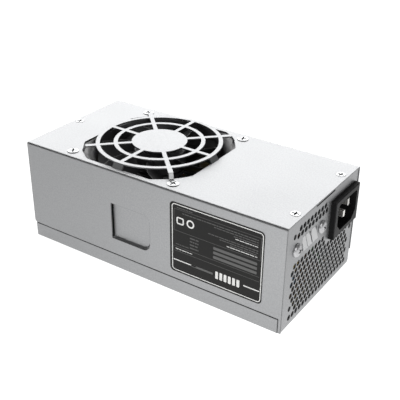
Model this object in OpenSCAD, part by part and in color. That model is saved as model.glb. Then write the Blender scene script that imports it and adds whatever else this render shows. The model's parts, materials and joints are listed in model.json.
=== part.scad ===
// Slim computer power supply unit with an 80 mm fan under a raised grille.
// +X runs to the mains inlet end, -Y is the long side with the label, +Z is the fan side.
// The origin is the centre of the base.

/* [Case] */
// Length from the cable end to the mains inlet end
case_l = 175; // [173:1:180]
// Width across the long side walls
case_w = 85; // [84:0.5:87]
// Height of the flat top above the base
case_h = 64; // [63.5:0.5:66]
// Thickness of the sheet metal
sheet = 0.8; // [0.7:0.1:0.9]
// Height of the seam between the cover and the base
seam_z = 9.3; // [8:0.1:11]
// Outside radius of the long bends
bend_r = 1.2; // [1:0.1:1.5]

/* [Fan and grille] */
// Fan centre along the case
fan_x = -21.2; // [-23:0.2:-20]
// Side of the square fan frame
fan_side = 80; // [79:0.5:80]
// Thickness of the fan
fan_t = 15; // [15:0.5:16]
// Spacing of the fan screws
fan_pitch = 71.5; // [71:0.1:72]
// Number of fan blades
fan_blades = 7; // [5:1:9]
// Height of the grille above the flat top
grille_rise = 3; // [2.5:0.1:4]
// Radius of the grille's centre disc
grille_disc_r = 16.4; // [14:0.2:17]
// Outside radius of the inner grille ring
grille_mid_r = 27; // [25:0.5:28]
// Outside radius of the outer grille ring
grille_out_r = 37.4; // [36.5:0.1:37.6]
// Width of the grille's rings and spokes
grille_bar = 2.5; // [2:0.1:3]

/* [Rear panel] */
// Distance between the vent holes
vent_pitch = 3.99; // [3.9:0.01:4.1]
// Size of a vent hole across its flats
vent_af = 3; // [2.4:0.1:3.2]
// Distance between the two selector screws
selector_pitch = 28.4; // [27:0.1:29]
// Width of the mains inlet's flange
inlet_w = 30.4; // [30:0.2:31]
// Height of the mains inlet's flange
inlet_h = 23; // [22.6:0.2:23.4]
// Thickness of the mains inlet's flange
inlet_t = 3.1; // [2.6:0.1:4]

/* [Side wall] */
// Length of the label
label_l = 58; // [50:1:58]
// Height of the label
label_h = 43.5; // [38:0.5:43.5]
// Depth of the mounting pocket
pocket_d = 1.8; // [1.5:0.1:2.4]

/* [Hidden] */
$fn = 64;
eps = 0.01;
touch = 0.05;                     // gap left between neighbouring pieces of one assembly

// Case planes
wall_y = case_w / 2;              // outer face of a long wall
wall_in = wall_y - sheet;         // inner face of a long wall
top_in = case_h - sheet;          // underside of the flat top
panel_x = case_l / 2 - 0.3;       // outer face of an end panel
panel_in = panel_x - sheet;       // inner face of an end panel
panel_w = 2 * wall_in - 0.4;      // width of an end panel between the walls
tray_front = -case_l / 2 + 1;     // where the base's side flanges start
tray_rear = case_l / 2 - 2;       // where the base's side flanges end
leg_x = case_l / 2 - 1.75;        // front edge of the cover's rear leg
leg_z = 1;                        // lower end of the rear leg
seam_gap = 0.45;

// Screws: thread radius, tapped hole radius
thread_r = 1.45;
tapped_r = 1.5;
cover_screw_xy = [[-84, 0], [83, -26.5], [83, 26.5]];
cover_head_r = 2.75;

// Fan: heights and radii
fan_top = top_in;
fan_z = fan_top - fan_t;
duct_r = 38;
tip_r = 37.2;
hub_r = 15.5;
hub_top = fan_top - 0.8;
shaft_r = 1.5;
opening_side = 77.8;
opening_r = 44.7;
fan_screw_r = 2;
fan_head_r = 3.4;
fan_head_lip = 0.5;
fan_cone_r = [2.3, 3.1];          // underside of the head, at the bottom and at the top

// Rear panel: places as [y, z]
mount_holes = [[-33.4, 55.1], [-33.5, 11.4], [37.6, 27.4]];
mount_hole_r = 1.45;
mount_boss_l = 1.6;
selector_yz = [-16.5, 46.2];
selector_head_r = 3.8;
tongue_z = [43, 50.2];
tongue_lift = 1.2;                // reach of a tongue's lower end in front of the panel
tongues = [[-24.5, -20.2], [-19.8, -15.5], [-14.3, -8.6]];
windows = [[-24.6, -15.4], [-14.4, -8.5]];
inlet_yz = [23.2, 44.9];
inlet_body = [26.8, 19.4];
inlet_cutout = [27, 19.6];
cavity = [24, 17.2];
cavity_bevel = 4.6;
inlet_back = 15.2;                // depth of the inlet behind the panel
pin_lift = 2;                     // pins stand this far above or below the inlet's centre
pin_spread = 7;                   // live pins stand this far either side of it

// Cable end
grommet_yz = [14, 24];
grommet_r = 11;
grommet_bore = 8.5;

// Circuit board
board_z = 5.8;
board_t = 1.6;
board_top = board_z + board_t;
board_x = [-80, 80];
board_y = 37.5;
board_holes = [[-76, -33], [-76, 33], [0, 34.5], [64.5, 33.5], [76, -33]];

// ---------- plain shapes ----------

// A bar that stands on the X axis, with its two upper corners round
module round_top(w, h, r) {
    translate([-w / 2, 0]) square([w, h - r]);
    translate([-w / 2 + r, 0]) square([w - 2 * r, h]);
    for (s = [-1, 1]) translate([s * (w / 2 - r), h - r]) circle(r);
}

module round_bottom(w, h, r) {
    translate([0, h]) mirror([0, 1]) round_top(w, h, r);
}

module round_rect(w, h, r) {
    square([w - 2 * r, h], center = true);
    square([w, h - 2 * r], center = true);
    for (x = [-1, 1], y = [-1, 1]) translate([x * (w / 2 - r), y * (h / 2 - r)]) circle(r);
}

// Outline in Y and Z, extruded from x0 to x1
module along_x(x0, x1) {
    translate([x0, 0, 0]) rotate([90, 0, 90]) linear_extrude(x1 - x0) children();
}

// Outline in X and Z, extruded from y0 to y1
module along_y(y0, y1) {
    translate([0, y1, 0]) rotate([90, 0, 0]) linear_extrude(y1 - y0) children();
}

module block(a, b) {
    translate(a) cube(b - a);
}

module tube(r_out, r_in, h) {
    difference() {
        cylinder(r = r_out, h = h);
        translate([0, 0, -1]) cylinder(r = r_in, h = h + 2);
    }
}

// Smooth points between p1 and p2 on a Catmull-Rom curve
function curve(p0, p1, p2, p3, t) =
    0.5 * (2 * p1 + (p2 - p0) * t + (2 * p0 - 5 * p1 + 4 * p2 - p3) * t * t
    + (3 * p1 - p0 - 3 * p2 + p3) * t * t * t);

function smooth(p, n) = let (last = len(p) - 1) concat(
    [for (i = [0:last - 1], k = [0:n - 1])
        curve(p[max(i - 1, 0)], p[i], p[i + 1], p[min(i + 2, last)], k / n)],
    [p[last]]);

function unit(v) = v / norm(v);

// A round wire swept along a route of points
module wire(route, r, sides = 8, side_ref = [0.3, 0.2, 1]) {
    p = smooth(route, 5);
    last = len(p) - 1;
    rings = [for (i = [0:last])
        let (t = unit(p[min(i + 1, last)] - p[max(i - 1, 0)]),
             a = unit(cross(t, side_ref)),
             b = cross(t, a))
        for (k = [0:sides - 1]) p[i] + r * (a * cos(360 * k / sides) + b * sin(360 * k / sides))];
    sides_f = [for (i = [0:last - 1], k = [0:sides - 1])
        [i * sides + k, (i + 1) * sides + k,
         (i + 1) * sides + (k + 1) % sides, i * sides + (k + 1) % sides]];
    ends_f = [[for (k = [0:sides - 1]) k], [for (k = [0:sides - 1]) last * sides + sides - 1 - k]];
    polyhedron(rings, concat(sides_f, ends_f), convexity = 6);
}

// A cross recess cut down from z = 0
module cross_recess(size, depth) {
    for (a = [0, 90]) rotate(a)
        translate([-size / 2, -size * 0.13, -depth]) cube([size, size * 0.26, depth + 3]);
}

// Domed screw, seated at z = 0, thread pointing down
module dome_screw(head_r, head_h, thread, length, recess) {
    difference() {
        rotate_extrude() polygon(concat([[0, 0], [head_r, 0], [head_r, head_h * 0.2]],
            [for (a = [15:15:90]) [head_r * cos(a), head_h * (0.2 + 0.8 * sin(a))]]));
        translate([0, 0, head_h]) cross_recess(recess, head_h * 0.6);
    }
    translate([0, 0, -length]) cylinder(r = thread, h = length + eps);
}

// ---------- case ----------

module cover_outline() {
    difference() {
        round_top(case_w, case_h, bend_r);
        translate([0, -1]) round_top(case_w - 2 * sheet, top_in + 1, bend_r - sheet);
    }
}

module fan_opening() {
    intersection() {
        square(opening_side, center = true);
        circle(opening_r);
    }
}

module ring(r_out) {
    difference() {
        circle(r_out);
        circle(r_out - grille_bar);
    }
}

// Sloped leg of the grille, from its flat arm at radius r0 down to the case's flat top at radius r1.
// It starts inside the arm and ends inside the sheet, a hair clear of their faces.
module grille_leg(r0, r1, w) {
    hair = 0.02;
    along_y(hair - w / 2, w / 2 - hair) polygon([[r0 - 1, grille_rise - hair], [r0, grille_rise - hair],
        [r1, -hair], [r1, hair - sheet], [r1 - 0.9, hair - sheet], [r0, grille_rise - sheet - 0.3],
        [r0 - 1, grille_rise - sheet + hair]]);
}

// Pressed grille: a disc, two rings, eight spokes and eight legs bent down to the flat top
module grille() {
    edge_leg_w = 7.2;
    corner_leg_w = 2.8;
    corner_bend_r = opening_r - 1.3;
    translate([fan_x, 0, case_h]) {
        translate([0, 0, grille_rise - sheet]) linear_extrude(sheet) {
            circle(grille_disc_r);
            ring(grille_mid_r);
            ring(grille_out_r);
            for (a = [0:45:315]) rotate(a)
                translate([grille_disc_r - 1, -grille_bar / 2])
                    square([grille_out_r - grille_disc_r, grille_bar]);
            for (a = [0:90:270]) rotate(a)
                translate([grille_out_r - 2, -edge_leg_w / 2]) square([2, edge_leg_w]);
            for (a = [45:90:315]) rotate(a) translate([grille_out_r - 1, -corner_leg_w / 2])
                square([corner_bend_r - grille_out_r + 1, corner_leg_w]);
        }
        for (a = [0:90:270]) rotate(a) grille_leg(grille_out_r, opening_side / 2 + 0.6, edge_leg_w);
        for (a = [45:90:315]) rotate(a) grille_leg(corner_bend_r, opening_r + 0.6, corner_leg_w);
    }
}

// Drawn pocket for a chassis hook: open along its left edge, sloped on the other three
pocket_x = [-24.3, 3.2];
pocket_z = [20, 43];
module pocket_outline(left, grow) {
    r = 5;
    w = pocket_x[1] - pocket_x[0] - left + grow;
    h = pocket_z[1] - pocket_z[0] + 2 * grow;
    translate([pocket_x[0] + left, pocket_z[0] - grow]) {
        square([w - r, h]);
        translate([0, r]) square([w, h - 2 * r]);
        for (y = [r, h - r]) translate([w - r, y]) circle(r, $fn = 32);
    }
}

// Sloped solid between a mouth outline and a floor outline
module pocket_solid(left, mouth, floor_grow, y_mouth, y_floor) {
    hull() {
        along_y(y_mouth, y_mouth + touch) pocket_outline(left, mouth);
        along_y(y_floor - touch, y_floor) pocket_outline(left, floor_grow);
    }
}

module top_cover() color("gainsboro") {
    foot = [[-case_l, -1], [leg_x, -1], [leg_x, seam_z + seam_gap], [1.2 - case_l / 2, seam_z + seam_gap],
        [-case_l / 2 - 1, seam_z + seam_gap + 2.2], [-case_l, seam_z + 3]];
    difference() {
        union() {
            difference() {
                along_x(-case_l / 2, case_l / 2) cover_outline();
                along_y(-case_w, case_w) polygon(foot);
                block([leg_x - 1, -case_w, -1], [case_l, case_w, leg_z]);
                block([leg_x - 1, 0, -1], [case_l, case_w, seam_z + seam_gap]);
                translate([fan_x, 0, case_h - 3]) linear_extrude(5) fan_opening();
            }
            grille();
            pocket_solid(0.1, 0.9, -0.4, sheet / 2 - wall_y, pocket_d + sheet - wall_y);
            for (x = [-66, -2, 62], s = [-1, 1])
                block([x - 5, s > 0 ? wall_in - sheet : -wall_in, seam_z - 4],
                      [x + 5, s > 0 ? wall_in : -wall_in + sheet, seam_z + 4]);
        }
        pocket_solid(0, 0.6, -1.1, -1 - wall_y, pocket_d - wall_y);
        for (p = cover_screw_xy) translate([p[0], p[1], case_h]) {
            translate([0, 0, -2]) cylinder(r = 2.35, h = 4);
            translate([0, 0, -sheet - eps])
                cylinder(r1 = 2.35, r2 = cover_head_r + touch, h = sheet + 2 * eps);
        }
        for (x = [-1, 1], y = [-1, 1]) translate([fan_x + x * fan_pitch / 2, y * fan_pitch / 2, case_h]) {
            translate([0, 0, -2]) cylinder(r = fan_cone_r[0] + touch, h = 4);
            translate([0, 0, -sheet - eps])
                cylinder(r1 = fan_cone_r[0] + touch, r2 = fan_cone_r[1] + touch, h = sheet + 2 * eps);
        }
    }
}

// Lattice of vent holes, left out round the mounting holes, the selector and the inlet
function clear_of_mounts(y, z) =
    len([for (m = mount_holes) if (norm([y - m[0], z - m[1]]) < 4) 1]) == 0;
function vent_here(y, z) = abs(y) < 36 && (z < 38 || (z > 53 && y < 5.5)) && clear_of_mounts(y, z)
    && !(z > 31.5 && y > 4);

module hex_hole(y, z) {
    translate([panel_in - 1, y, z]) rotate([0, 90, 0])
        cylinder(r = vent_af / sqrt(3), h = sheet + 2, $fn = 6);
}

module rear_vents() {
    row = vent_pitch * sqrt(3) / 2;
    for (j = [0:15], i = [0:17]) {
        y = -33.3 + vent_pitch * (i + (j % 2) / 2);
        z = 5.65 + row * j;
        if (vent_here(y, z)) hex_hole(y, z);
    }
}

// Upright slots of the cable end
module front_vents() {
    for (i = [0:6]) translate([0, -34 + 5 * i, 0]) {
        block([-panel_x - 1, -1.4, 12], [-panel_in + 1, 1.4, 50]);
        for (z = [12, 50]) translate([-panel_x - 1, 0, z]) rotate([0, 90, 0])
            cylinder(r = 1.4, h = sheet + 2);
    }
}

module panel_tab(x0, x1, y0, y1, z1) {
    block([x0, y0, z1 - sheet], [x1, y1, z1]);
}

module chassis() color("silver") {
    difference() {
        union() {
            // floor with both end panels
            along_y(-panel_w / 2, panel_w / 2) difference() {
                round_bottom(2 * panel_x, top_in - touch, bend_r);
                translate([0, sheet]) round_bottom(2 * panel_in, top_in, bend_r - sheet);
            }
            // floor with both side flanges
            along_x(tray_front, tray_rear) difference() {
                round_bottom(case_w, seam_z, bend_r);
                translate([0, sheet]) round_bottom(2 * wall_in, seam_z, bend_r - sheet);
            }
            // tabs under the flat top, with threaded collars
            for (s = [-1, 1])
                panel_tab(panel_x - 11, panel_in + eps, s > 0 ? 11 : -panel_w / 2, s > 0 ? panel_w / 2 : -11,
                    top_in - touch);
            panel_tab(-panel_in - eps, -panel_x + 9, -12, 12, top_in - touch);
            for (p = cover_screw_xy) translate([p[0], p[1], top_in - sheet - 2]) cylinder(r = 2.6, h = 2);
            // threaded collars behind the mounting holes
            for (m = mount_holes) translate([panel_in - mount_boss_l, m[0], m[1]])
                rotate([0, 90, 0]) cylinder(r = 2.6, h = mount_boss_l + eps);
            // raised collar for the earth screw
            translate([76, 32, sheet - eps]) cylinder(r = 3, h = 2.4);
        }
        for (m = mount_holes) translate([panel_in - mount_boss_l - 1, m[0], m[1]])
            rotate([0, 90, 0]) cylinder(r = mount_hole_r, h = 8);
        for (p = cover_screw_xy) translate([p[0], p[1], top_in - 6]) cylinder(r = tapped_r, h = 8);
        rear_vents();
        front_vents();
        for (w = windows)
            block([panel_in - 1, w[0], tongue_z[0] - 0.6], [panel_x + 1, w[1], tongue_z[1] + 0.3]);
        for (s = [-1, 1]) translate([panel_in - 1, selector_yz[0] + s * selector_pitch / 2, selector_yz[1]])
            rotate([0, 90, 0]) cylinder(r = 1.6, h = 4);
        block([panel_in - 1, inlet_yz[0] - inlet_cutout[0] / 2, inlet_yz[1] - inlet_cutout[1] / 2],
              [panel_x + 1, inlet_yz[0] + inlet_cutout[0] / 2, inlet_yz[1] + inlet_cutout[1] / 2]);
        // relief between the rear tabs
        block([panel_in - 1, -11, top_in - 1.2], [panel_x + 1, 11, case_h]);
        // cropped lower corners of the rear panel
        for (s = [-1, 1]) mirror([0, s > 0 ? 0 : 1, 0]) along_x(tray_rear + eps, panel_x + 1)
            polygon([[panel_w / 2 - 2, -eps], [panel_w / 2 + 1, -eps],
                [panel_w / 2 + 1, 3], [panel_w / 2, 2]]);
        translate([-panel_x - 1, grommet_yz[0], grommet_yz[1]]) rotate([0, 90, 0])
            cylinder(r = grommet_r - 1.6, h = 4);
        for (p = board_holes) translate([p[0], p[1], -1]) cylinder(r = 1.6, h = 4);
        translate([76, 32, 1]) cylinder(r = tapped_r, h = 4);
    }
}

// Blanking plate behind the panel, with stamped tongues in the selector windows
module selector_blank() color("silver") {
    x = panel_in - touch;
    difference() {
        union() {
            block([x - sheet, selector_yz[0] - selector_pitch / 2 - 4.5, tongue_z[0] - 2.4],
                  [x, selector_yz[0] + selector_pitch / 2 + 4.5, tongue_z[1] + 1.2]);
            for (s = [-1, 1])
                translate([x - sheet - 1.6, selector_yz[0] + s * selector_pitch / 2, selector_yz[1]])
                    rotate([0, 90, 0]) cylinder(r = 2.6, h = 2);
        }
        for (t = tongues)
            block([x - sheet - 1, t[0] - 0.1, tongue_z[0] - 0.6], [x + 1, t[1] + 0.1, tongue_z[1] - 1]);
        for (s = [-1, 1]) translate([x - 5, selector_yz[0] + s * selector_pitch / 2, selector_yz[1]])
            rotate([0, 90, 0]) cylinder(r = tapped_r, h = 8);
    }
    for (t = tongues) along_y(t[0], t[1])
        polygon([[x - sheet, tongue_z[1]], [x, tongue_z[1]], [panel_x + tongue_lift, tongue_z[0]],
            [panel_x + tongue_lift - sheet, tongue_z[0]], [x - 0.4, tongue_z[1] - 1.2],
            [x - sheet, tongue_z[1] - 1.2]]);
}

module cover_screws() color("whitesmoke") {
    for (p = cover_screw_xy) translate([p[0], p[1], case_h]) {
        difference() {
            union() {
                cylinder(r = cover_head_r, h = 0.15);
                translate([0, 0, -sheet + touch]) cylinder(r1 = 2.25, r2 = cover_head_r, h = sheet - touch);
            }
            translate([0, 0, 0.15]) cross_recess(3.4, 0.7);
        }
        translate([0, 0, -5]) cylinder(r = thread_r, h = 5 - sheet + 2 * touch);
    }
}

module selector_screws() color("whitesmoke") {
    for (s = [-1, 1]) translate([panel_x, selector_yz[0] + s * selector_pitch / 2, selector_yz[1]])
        rotate([0, 90, 0]) rotate(20) dome_screw(selector_head_r, 2.2, thread_r, 5, 4.2);
}

// Raised countersunk screws: the cone sits in the sheet, the lip stands on it
module fan_screws() color("whitesmoke") {
    for (x = [-1, 1], y = [-1, 1]) translate([fan_x + x * fan_pitch / 2, y * fan_pitch / 2, case_h]) {
        difference() {
            union() {
                cylinder(r = fan_head_r, h = fan_head_lip);
                translate([0, 0, touch - sheet]) cylinder(r1 = fan_cone_r[0], r2 = fan_cone_r[1], h = sheet);
            }
            translate([0, 0, fan_head_lip]) rotate(20 * x + 45 * y) cross_recess(4.2, 0.9);
        }
        translate([0, 0, -9]) cylinder(r = fan_screw_r, h = 9 - sheet + 2 * touch);
    }
}

module side_label() color("dimgray") {
    translate([17.3 + label_l / 2, 0, 14.5 + label_h / 2]) along_y(-wall_y - 0.15, -wall_y)
        round_rect(label_l, label_h, 2.5);
}

module cable_grommet() color("black") {
    translate([-panel_x - 1.6, grommet_yz[0], grommet_yz[1]]) rotate([0, 90, 0]) difference() {
        union() {
            cylinder(r = grommet_r, h = 1.6);
            cylinder(r = grommet_r - 1.7, h = 1.6 + sheet + eps);
            translate([0, 0, 1.6 + sheet]) cylinder(r = grommet_r - 0.8, h = 2.4);
        }
        translate([0, 0, -1]) cylinder(r = grommet_bore, h = 12);
    }
}

module insulating_sheet() color("lightyellow") {
    translate([0, 0, sheet]) linear_extrude(0.25) difference() {
        round_rect(164, 80, 2);
        for (p = board_holes) translate(p) circle(3.4);
        translate([66, 27]) square([30, 20]);
    }
}

// ---------- fan ----------

module at_fan(z) {
    translate([fan_x, 0, z]) children();
}

// Square frame with a round duct, open corners between its flanges, four struts and a motor seat
module fan_frame() color("dimgray") at_fan(fan_z) {
    difference() {
        union() {
            for (z = [0, fan_t - 3]) translate([0, 0, z]) linear_extrude(3) round_rect(fan_side, fan_side, 4);
            cylinder(r = duct_r + 1.7, h = fan_t);
            for (x = [-1, 1], y = [-1, 1]) translate([x * fan_pitch / 2, y * fan_pitch / 2, 1])
                cylinder(r = 3.8, h = fan_t - 2);
        }
        translate([0, 0, -1]) cylinder(r = duct_r, h = fan_t + 2);
        for (x = [-1, 1], y = [-1, 1]) translate([x * fan_pitch / 2, y * fan_pitch / 2, -1])
            cylinder(r = fan_screw_r + touch, h = fan_t + 2);
    }
    difference() {
        cylinder(r = hub_r, h = 2);
        translate([0, 0, 1]) cylinder(r = 3, h = 4);
        block([9, -1.2, -1], [14, 2.8, 3]);
    }
    tube(4.2, 3, 10.4);
    for (a = [20:90:290]) rotate(a) block([hub_r - 1, -1.6, 0], [duct_r + 1, 1.6, 2.4]);
}

// One swept blade, from the hub to just inside the duct
function blade_edge(k, thick) = let (f = k / 4, r = hub_r - 0.5 + (tip_r - hub_r + 0.5) * f,
    a = 16 * pow(f, 1.5) + thick * (4.5 - 2 * f)) [r * cos(a), r * sin(a)];

module fan_blade() {
    linear_extrude(10.2, twist = 26, slices = 5, $fn = 16)
        polygon(concat([for (k = [0:4]) blade_edge(k, 0)], [for (k = [4:-1:0]) blade_edge(k, 1)]));
}

module fan_impeller() color("black") at_fan(0) {
    hub_z = fan_z + 3.4;
    difference() {
        union() {
            translate([0, 0, hub_z]) cylinder(r = hub_r, h = hub_top - hub_z);
            for (i = [0:fan_blades - 1]) rotate(i * 360 / fan_blades)
                translate([0, 0, fan_z + 3.6]) fan_blade();
        }
        translate([0, 0, hub_z - 1]) cylinder(r = 14.3, h = hub_top - hub_z - 0.4);
        translate([0, 0, hub_top - 2]) cylinder(r = shaft_r, h = 1.2);
    }
}

module rotor_yoke() color("gray") at_fan(fan_z + 3.8) {
    h = hub_top - 1.4 - fan_z - 3.8;
    difference() {
        cylinder(r = 14.3 - touch / 2, h = h);
        translate([0, 0, -1]) cylinder(r = 13.6, h = h + 0.4);
        translate([0, 0, -1]) cylinder(r = shaft_r, h = 20);
    }
}

module rotor_magnet() color("darkslategray") at_fan(fan_z + 4.2) {
    tube(13.6 - touch / 2, 12.2, 7.6);
}

module fan_shaft() color("lightgray") at_fan(fan_z + 1.3) {
    length = hub_top - 0.85 - fan_z - 1.3;
    rotate_extrude() polygon([[0, 0], [1.2, 0], [shaft_r, 0.3], [shaft_r, 0.5], [1.1, 0.5], [1.1, 0.8],
        [shaft_r, 0.8], [shaft_r, length], [0, length]]);
}

module shaft_clip() color("white") at_fan(fan_z + 1.82) {
    difference() {
        cylinder(r = 2.4, h = 0.26);
        translate([0, 0, -1]) cylinder(r = 1.1, h = 3);
        block([0, -0.5, -1], [4, 0.5, 2]);
    }
}

module fan_bearing() color("peru") at_fan(fan_z + 2.5) {
    tube(3, shaft_r + 0.03, 7.7);
}

// Laminated core with four poles
module stator_core() color("gray") at_fan(fan_z + 5.2) linear_extrude(4.4) difference() {
    union() {
        circle(6.2);
        for (a = [0:90:270]) rotate(a) translate([5, -1.5]) square([5, 3]);
        difference() {
            circle(11.6);
            circle(9.8);
            for (a = [45:90:315]) rotate(a) translate([5, -1.4]) square([10, 2.8]);
        }
    }
    circle(4.2);
}

module stator_coils() color("orangered") at_fan(fan_z + 5.2) for (a = [0:90:270]) rotate(a) difference() {
    block([6.4, -3.1, -1.3], [9, 3.1, 5.7]);
    block([5, -1.55, -touch], [11, 1.55, 4.4 + touch]);
}

module fan_circuit_board() color("seagreen") at_fan(fan_z + 2.2) {
    tube(12, 4.25, 0.8);
    translate([8, 0, 0.8]) block([-1.6, -1.5, 0], [1.6, 1.5, 0.8]);
}

fan_lead_route = [[10.6, 0, 2.15], [10.9, 0, 0.6], [12.6, -0.4, -0.9], [20, -3, -1.3], [32, -10, -2.4],
    [41, -21, -7], [47, -30, -16], [49.5, -33.4, -25], [49.5, -33.4, -31.55]];
module fan_lead() {
    for (i = [0, 1]) color(i == 0 ? "red" : "black") at_fan(fan_z)
        translate([0.8 * i, 1.2 * i, 0]) wire(fan_lead_route, 0.55, side_ref = [0.1, 1, 0.2]);
}

module fan_plug() color("white") at_fan(0) translate([49.5, -32.7, board_top]) difference() {
    block([-2.2, -3.4, 2.4], [2.2, 3.4, 9.2]);
    for (y = [-1.4, 1.4]) block([-0.4, y - 0.4, 2], [0.4, y + 0.4, 8]);
}

module fan_header() color("ivory") at_fan(0) translate([49.5, -32.7, board_top]) {
    difference() {
        block([-2.9, -4.1, 0], [2.9, 4.1, 4.4]);
        block([-2.3, -3.5, 1.5], [2.3, 3.5, 6]);
    }
    for (y = [-1.4, 1.4]) block([-0.32, y - 0.32, 1], [0.32, y + 0.32, 7]);
}

// ---------- mains inlet ----------

module at_inlet() {
    translate([panel_x, inlet_yz[0], inlet_yz[1]]) children();
}

module cavity_outline() {
    w = cavity[0] / 2;
    h = cavity[1] / 2;
    b = cavity_bevel;
    polygon([[-w, h - 1.4], [-w + 1.4, h], [w - 1.4, h], [w, h - 1.4],
        [w, b - h], [w - b, -h], [b - w, -h], [-w, b - h]]);
}

module pin_slots(grow) {
    for (s = [-1, 1]) translate([s * pin_spread, pin_lift]) square([2 + grow, 4 + grow], center = true);
    translate([0, -pin_lift]) square([2 + grow, 4 + grow], center = true);
}

module ac_inlet_body() color("black") at_inlet() difference() {
    bevel = 0.4;
    union() {
        along_x(0, inlet_t - bevel) square([inlet_w, inlet_h], center = true);
        hull() for (b = [0, bevel]) along_x(inlet_t - bevel - touch + b, inlet_t - bevel + b)
            square([inlet_w - 2 * b, inlet_h - 2 * b], center = true);
        along_x(-inlet_back, eps) square(inlet_body, center = true);
        for (s = [-1, 1]) mirror([0, s > 0 ? 0 : 1, 0]) translate([0, 0, -3]) linear_extrude(6)
            polygon([[-6, inlet_body[0] / 2 - eps], [-1.2, inlet_body[0] / 2 + 0.9],
                [-sheet - touch, inlet_body[0] / 2 + 0.9], [-sheet - touch, inlet_body[0] / 2 - eps]]);
    }
    along_x(-inlet_back + 3.4, inlet_t + 1) cavity_outline();
    along_x(-inlet_back - 1, 5) pin_slots(0.02);
}

module line_and_neutral_pins() color("silver") at_inlet() for (s = [-1, 1]) {
    block([-inlet_back - 6, s * pin_spread - 1, pin_lift - 2],
        [inlet_t - 2.4, s * pin_spread + 1, pin_lift + 2]);
}

module earth_pin() color("silver") at_inlet() {
    block([-inlet_back - 6, -1, -pin_lift - 2], [inlet_t - 1.6, 1, 2 - pin_lift]);
}

module mains_wires() {
    for (s = [-1, 1]) color(s > 0 ? "sienna" : "royalblue") at_inlet()
        wire([[-inlet_back - 6.1, s * pin_spread, pin_lift - 1],
            [-inlet_back - 9, s * pin_spread, pin_lift - 1.6],
            [-inlet_back - 10, s * (pin_spread - 1), -6], [-inlet_back - 6, s * (pin_spread - 2), -18],
            [-inlet_back - 5, s * (pin_spread - 2), -30],
            [-inlet_back - 5, s * (pin_spread - 2), board_top - inlet_yz[1] + touch]],
            1.1, side_ref = [0.1, 1, 0.1]);
}

module earth_wire() color("limegreen") at_inlet()
    wire([[-inlet_back - 6.1, 0, -pin_lift], [-inlet_back - 8.6, 0, -pin_lift - 1], [-inlet_back - 9, 0, -15],
        [-inlet_back - 4, 0, -28], [-inlet_back + 2, 0.4, -34.2], [-inlet_back + 4, 1.4, -38.4],
        [-inlet_back + 4, 2.6, -40.7], [-inlet_back + 4, 4.15, -41.4]],
        1.1, side_ref = [1, 0.1, 0.05]);

// Ring terminal clamped on the floor's raised collar
module earth_lug() color("silver") translate([76, 32, sheet + 2.4]) {
    difference() {
        union() {
            cylinder(r = 3.4, h = 0.6);
            block([-1.9, -4.6, 0], [1.9, 0, 0.6]);
        }
        translate([0, 0, -1]) cylinder(r = 1.7, h = 3);
    }
}

module earth_screw() color("gold") translate([76, 32, sheet + 3]) dome_screw(3, 1.9, thread_r, 2.1, 3.2);

// ---------- circuit board and its parts ----------

module main_circuit_board() color("peru") translate([0, 0, board_z]) linear_extrude(board_t) difference() {
    translate([board_x[0], -board_y]) square([board_x[1] - board_x[0], 2 * board_y]);
    for (p = board_holes) translate(p) circle(1.7);
    translate([69, 20]) square([20, 20]);
}

module board_standoffs() color("goldenrod")
    for (p = board_holes) translate([p[0], p[1], sheet]) difference() {
    union() {
        cylinder(r = 3, h = board_z - sheet, $fn = 6);
        translate([0, 0, 0.1 - sheet]) cylinder(r = 1.6 - touch, h = sheet);
    }
    translate([0, 0, 1]) cylinder(r = tapped_r, h = 6);
}

module board_screws() color("whitesmoke") for (p = board_holes)
    translate([p[0], p[1], board_top]) dome_screw(2.8, 1.6, thread_r, 4, 3);

module on_board(x, y) {
    translate([x, y, board_top]) children();
}

fuse_xy = [66, -6];
module mains_fuse() color("lightcyan") on_board(fuse_xy[0], fuse_xy[1])
    translate([-10, 0, 4]) rotate([0, 90, 0]) cylinder(r = 2.6, h = 20);

module fuse_clips() color("silver") on_board(fuse_xy[0], fuse_xy[1]) for (x = [-8, 8]) difference() {
    block([x - 2, -3.4, 0], [x + 2, 3.4, 5.5]);
    translate([x - 3, 0, 4]) rotate([0, 90, 0]) cylinder(r = 2.6 + touch, h = 6);
    block([x - 3, -2.4, 4], [x + 3, 2.4, 7]);
    block([x - 3, -2.6, 0.6], [x + 3, 2.6, 1.2]);
}

module inrush_thermistor() color("darkgreen") on_board(62, -16) {
    translate([0, 0, 9.5]) rotate([90, 0, 0]) translate([0, 0, -2]) cylinder(r = 6, h = 4);
    for (x = [-3, 3]) translate([x, 0, 0]) cylinder(r = 0.45, h = 5.5);
}

module box_capacitor(x, y, l, w, h) {
    on_board(x, y) translate([0, 0, 0.3]) linear_extrude(h) round_rect(l, w, 0.8);
    for (s = [-1, 1]) on_board(x + s * (l / 2 - 2.5), y) cylinder(r = 0.4, h = 0.5);
}

module x_capacitors() color("gold") {
    box_capacitor(62, 5, 18, 9, 15);
    box_capacitor(63, -28, 18, 8, 14);
}

module y_capacitors() color("deepskyblue") for (p = [[75, -14], [75, -22], [48, -30]]) on_board(p[0], p[1]) {
    translate([0, 1.5, 6]) rotate([90, 0, 0]) cylinder(r = 4, h = 3);
    for (x = [-2.5, 2.5]) translate([x, 0, 0]) cylinder(r = 0.35, h = 3.2);
}

// Common-mode choke: upright ring core with two windings
module at_choke() {
    on_board(55, 22.5) translate([-4, 0, 12.5]) rotate([0, 90, 0]) children();
}

module choke_core() color("darkslategray") at_choke() tube(9.5, 5.5, 8);

module winding_band(r_out, r_in, h, t, sweep, start) {
    intersection() {
        difference() {
            translate([0, 0, -t]) tube(r_out + t, r_in - t, h + 2 * t);
            tube(r_out + touch, r_in - touch, h);
        }
        rotate(start) linear_extrude(100, center = true) polygon([[0, 0], [100, 0],
            [100 * cos(sweep / 2), 100 * sin(sweep / 2)], [100 * cos(sweep), 100 * sin(sweep)]]);
    }
}

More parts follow.
